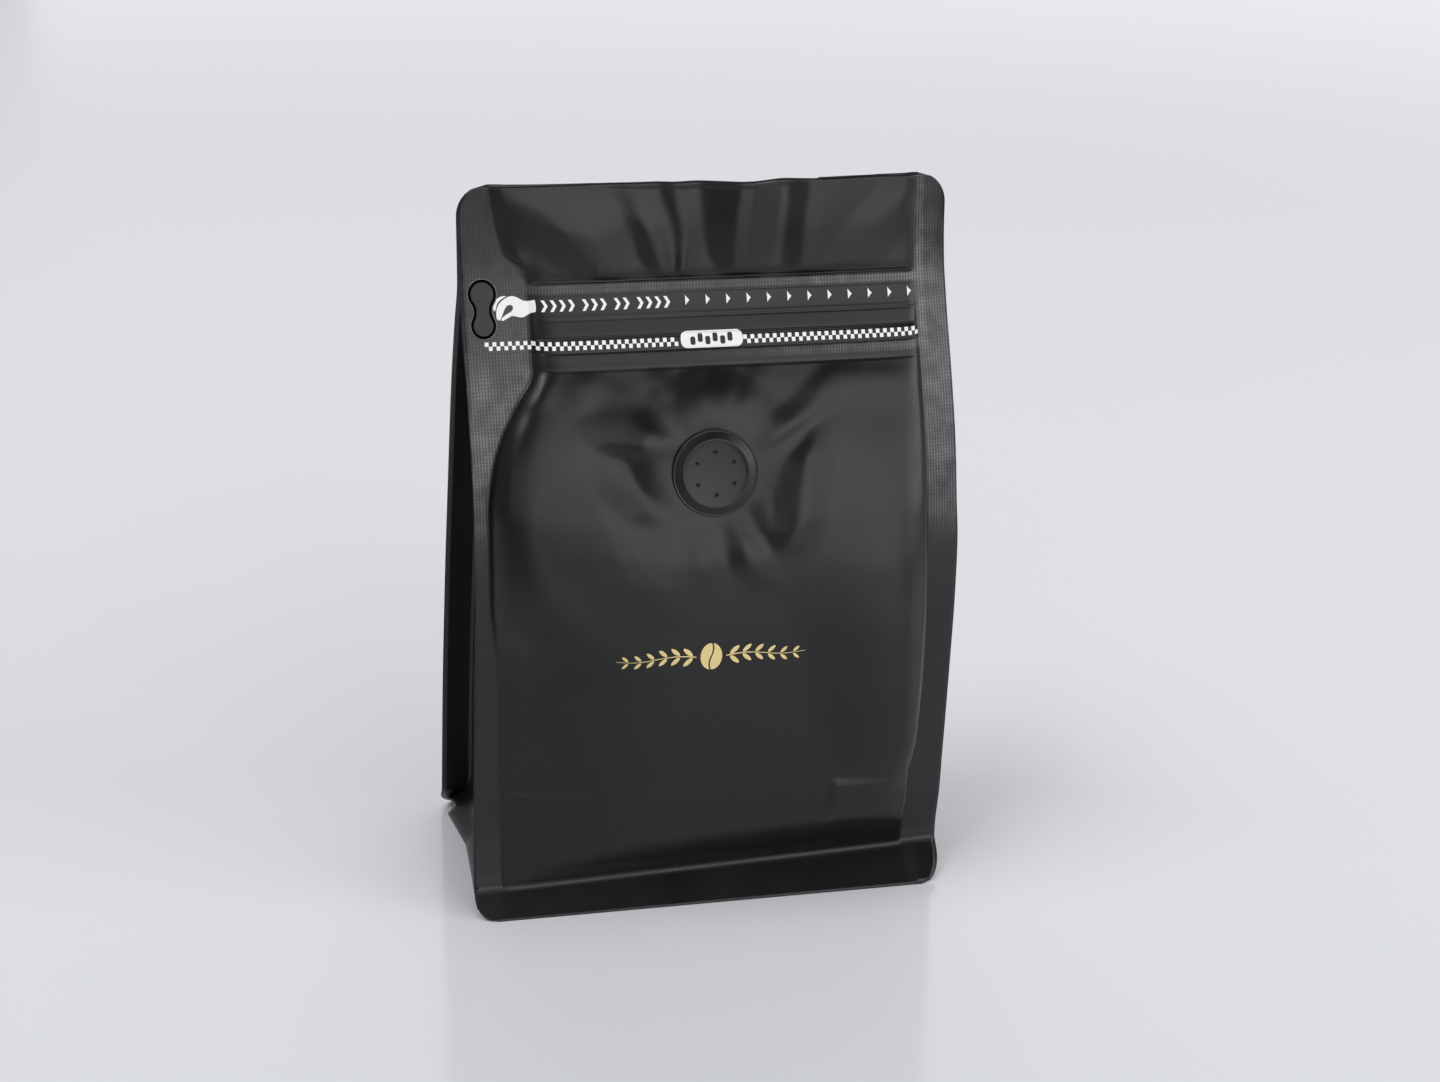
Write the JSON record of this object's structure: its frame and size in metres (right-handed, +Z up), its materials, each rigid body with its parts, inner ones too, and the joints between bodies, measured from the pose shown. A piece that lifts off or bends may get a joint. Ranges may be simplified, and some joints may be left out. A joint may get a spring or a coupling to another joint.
{
  "type": "coffee bag",
  "caption": "Filled, shut flat-bottomed coffee bag that stands on its base, with sealed side fins, zipper band, pull tab and degassing valve.",
  "frame": {"origin": "middle of the flat base, on the surface that the bag stands on", "axes": "+Z up, the printed front faces -Y, +X to the right as the front is seen"},
  "size_m": [0.1307, 0.0763, 0.1925],
  "materials": {
    "film": "matt black laminated polyester film with a soft sheen, woven press marks on its seals",
    "valve_film": "the same film drawn tight over a pressed-in degassing valve",
    "white_print": "flat white printed ink",
    "gold_foil": "hot-stamped pale gold foil"
  },
  "bodies": {
    "root": {"pouch": "film", "valve": "valve_film", "pull_tab": "film"}
  },
  "joints": []
}
